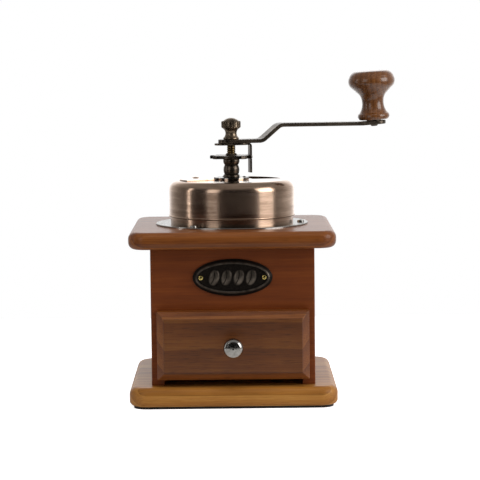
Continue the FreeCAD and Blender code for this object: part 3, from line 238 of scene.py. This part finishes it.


# Dark sheet under the base: a felt pad, and also a painted shade standing in for the shadow along the base's
# bottom edge
def felt(name):
    made, tree, shader = material(name)
    place = add(tree, "TexCoord").outputs["Object"]
    fibre = noise(tree, place, 1800.0, 5.0, 0.8, 1.2)
    tuft = noise(tree, place, 260.0, 3.0, 0.6)
    level = maths(tree, "ADD", maths(tree, "MULTIPLY", fibre, 0.6), maths(tree, "MULTIPLY", tuft, 0.4))
    put(tree, ramp(tree, level, (0.3, srgb(14, 13, 13)), (0.7, srgb(46, 44, 43))), shader.inputs["Base Color"])
    shader.inputs["Roughness"].default_value = 0.95
    shader.inputs["Sheen Weight"].default_value = 0.3
    put(tree, bump(tree, fibre, 0.0002, 0.8), shader.inputs["Normal"])
    return made


DRAWER_FACE = min(vertex.co.y for vertex in NODES["drawer_front"].data.vertices)
MATERIALS = {
    "felt": felt("felt"),
    "base_wood": wood("base_wood", "X", srgb(122, 74, 24), srgb(164, 108, 44), srgb(192, 140, 68), ring_mm=6.0,
                      coat=0.08, coat_roughness=0.2),
    "top_wood": wood("top_wood", "X", srgb(90, 44, 12), srgb(124, 68, 24), srgb(152, 92, 40),
                     pith=(0.0, 0.08, 0.02), ring_mm=7.0, shift=0.3, coat=0.2, coat_roughness=0.15),
    "body_wood": wood("body_wood", "X", srgb(90, 41, 11), srgb(115, 55, 17), srgb(134, 69, 24), figure=0.15,
                      pores=0.12, ring_mm=9.0, shift=0.7, roughness=0.5, coat=0.0),
    "plain_wood": wood("plain_wood", "Y", srgb(176, 146, 104), srgb(202, 174, 132), srgb(220, 196, 158), coat=0.0,
                       roughness=0.6, shift=1.1),
    "drawer_wood": wood("drawer_wood", "X", srgb(70, 34, 8), srgb(98, 52, 15), srgb(124, 76, 29),
                        pith=(0.0, -0.2, 0.11), ring_mm=8.0, pores=0.5, shift=1.7, coat=0.4,
                        bevel_face=DRAWER_FACE),
    "knob_wood": wood("knob_wood", "Z", srgb(80, 44, 16), srgb(112, 67, 30), srgb(134, 86, 44),
                      pith=(0.0, 0.06, 0.03), ring_mm=4.0, coat=0.8, coat_roughness=0.2, roughness=0.38,
                      gloss=0.3, shift=2.3),
    "plaque_bronze": raised_metal("plaque_bronze", srgb(22, 19, 17), srgb(44, 39, 35), srgb(118, 108, 97)),
    "brass": worn_metal("brass", srgb(190, 165, 90), srgb(225, 205, 130), 0.25),
    "chrome": worn_metal("chrome", srgb(156, 152, 146), srgb(202, 198, 192), 0.16, 700.0, 0.3, 0.000006,
                         edge=0.5),
    "copper_bronze": turned_metal("copper_bronze", srgb(138, 110, 89), srgb(210, 182, 160)),
    "antique_bronze": worn_metal("antique_bronze", srgb(64, 57, 51), srgb(120, 107, 93), 0.34),
    "thread_brass": worn_metal("thread_brass", srgb(84, 70, 48), srgb(140, 118, 80), 0.35),
    "cast_iron": worn_metal("cast_iron", srgb(44, 44, 45), srgb(84, 84, 86), 0.6, 700.0, 0.5, 0.0002),
    "burr_steel": worn_metal("burr_steel", srgb(110, 110, 112), srgb(160, 160, 162), 0.35, 1200.0),
    "zinc_steel": worn_metal("zinc_steel", srgb(150, 152, 156), srgb(200, 202, 206), 0.35, 800.0),
}
SLOT_OF = {part["node"]: part["material_slot"] for part in frame["record"]["subparts"]}


def dress(name, made):
    slots = NODES[name].data.materials
    if not slots:
        slots.append(made)
    for i in range(len(slots)):
        slots[i] = made


POLISHED = worn_metal("polished_nickel", srgb(150, 147, 142), srgb(200, 196, 190), 0.18, 700.0, 0.3, 0.000006)
RUBBED = worn_metal("rubbed_bronze", srgb(86, 75, 63), srgb(160, 141, 119), 0.34)
OWN_FINISH = {"drawer_knob": POLISHED, "hopper_screws": POLISHED, "cap_nut": RUBBED}
for name in NODES:
    dress(name, OWN_FINISH.get(name, MATERIALS[SLOT_OF[name]]))


# ---------------------------------------------------------------- studio
def area_light(name, azimuth, distance, height, width, tall, power, aim=0.1, mirrored=True):
    """Softbox round the mill: azimuth 0 is the camera's side, 90 the right. Metal can mirror it or not."""
    lamp = bpy.data.lights.new(name, "AREA")
    lamp.shape = "RECTANGLE"
    lamp.size = width
    lamp.size_y = tall
    lamp.energy = power
    holder = bpy.data.objects.new(name, lamp)
    bpy.context.scene.collection.objects.link(holder)
    turn = math.radians(azimuth)
    holder.location = (distance * math.sin(turn), -distance * math.cos(turn), height)
    look = Vector((0.0, 0.0, aim)) - holder.location
    holder.rotation_mode = "QUATERNION"
    holder.rotation_quaternion = look.to_track_quat("-Z", "Y")
    holder.visible_camera = False
    holder.visible_glossy = mirrored
    return holder


def make_world():
    world = bpy.data.worlds.new("studio")
    bpy.context.scene.world = world
    world.use_nodes = True
    tree = world.node_tree
    tree.nodes.clear()
    direction = add(tree, "TexCoord").outputs["Generated"]
    split = add(tree, "SeparateXYZ", {}, Vector=direction)
    flat = add(tree, "CombineXYZ", {}, X=split.outputs[0], Y=split.outputs[1], Z=0.0).outputs[0]
    level = add(tree, "VectorMath", {"operation": "NORMALIZE"}, i0=flat).outputs[0]
    front = add(tree, "SeparateXYZ", {}, Vector=level).outputs[1]
    round_about = ramp(tree, remap(tree, front, 1.0, -1.0), (0.0, 1.6), (0.04, 1.35), (0.1, 0.8), (0.27, 0.4),
                       (0.5, 0.14), (0.8, 0.03), (0.9, 0.01))
    overhead = remap(tree, split.outputs[2], 0.35, 0.8)
    side = remap(tree, add(tree, "SeparateXYZ", {}, Vector=level).outputs[0], -1.0, 1.0, 0.65, 1.35)
    round_about = mix(tree, 1.0, round_about, side, "MULTIPLY")
    light = mix(tree, overhead, round_about, (0.3, 0.3, 0.3, 1.0))
    seen = add(tree, "LightPath").outputs["Is Camera Ray"]
    lit = add(tree, "Background", {}, Color=light, Strength=1.0)
    white = add(tree, "Background", {}, Color=(1.0, 1.0, 1.0, 1.0), Strength=1.0)
    both = add(tree, "MixShader", {}, i0=seen, i1=lit.outputs[0], i2=white.outputs[0])
    output = add(tree, "OutputWorld")
    tree.links.new(both.outputs[0], output.inputs[0])


def make_floor():
    mesh = bpy.data.meshes.new("floor")
    corners = [(x * TABLE_HALF, y * TABLE_HALF, 0) for x, y in ((-1, -1), (1, -1), (1, 1), (-1, 1))]
    mesh.from_pydata(corners, [], [(0, 1, 2, 3)])
    floor = bpy.data.objects.new("floor", mesh)
    bpy.context.scene.collection.objects.link(floor)
    made, tree, shader = material("floor_paper")
    place = add(tree, "TexCoord").outputs["Object"]
    tooth = noise(tree, place, 300.0, 3.0)
    put(tree, ramp(tree, tooth, (0.3, 0.93), (0.7, 0.95)), shader.inputs["Base Color"])
    shader.inputs["Roughness"].default_value = 0.9
    glow = add(tree, "Emission", {}, Color=(1.0, 1.0, 1.0, 1.0), Strength=TABLE_GLOW)
    both = add(tree, "AddShader", {}, i0=shader.outputs[0], i1=glow.outputs[0])
    seen = add(tree, "LightPath").outputs["Is Camera Ray"]
    shown = add(tree, "MixShader", {}, i0=seen, i1=shader.outputs[0], i2=both.outputs[0])
    tree.links.new(shown.outputs[0], tree.nodes["Material Output"].inputs[0])
    mesh.materials.append(made)


def make_camera():
    data = bpy.data.cameras.new("camera")
    data.lens = LENS_MM
    data.sensor_width = SENSOR_MM
    data.clip_start = 0.05
    data.clip_end = 60.0
    camera = bpy.data.objects.new("camera", data)
    bpy.context.scene.collection.objects.link(camera)
    pitch, yaw, roll = CAMERA_PITCH, CAMERA_YAW, CAMERA_ROLL
    ahead = Vector((math.sin(yaw) * math.cos(pitch), math.cos(yaw) * math.cos(pitch), -math.sin(pitch)))
    level = Vector((math.cos(yaw), -math.sin(yaw), 0.0))
    up = level.cross(ahead)
    right = math.cos(roll) * level + math.sin(roll) * up
    top = -math.sin(roll) * level + math.cos(roll) * up
    turn = Matrix((right, top, -ahead)).transposed()
    camera.matrix_world = Matrix.Translation(CAMERA_PLACE) @ turn.to_4x4()
    bpy.context.scene.camera = camera


make_world()
make_floor()
make_camera()
area_light("softbox_left", -35.0, 1.3, 0.55, 0.5, 0.9, 2.2)
area_light("softbox_right", 66.0, 1.3, 0.55, 0.75, 0.9, 10.5)
area_light("strip_left", -84.0, 1.3, 0.4, 0.12, 0.9, 1.2)
area_light("overhead", 10.0, 0.6, 1.4, 1.0, 0.6, 7.0, mirrored=False)
bpy.context.scene.view_settings.view_transform = "Standard"
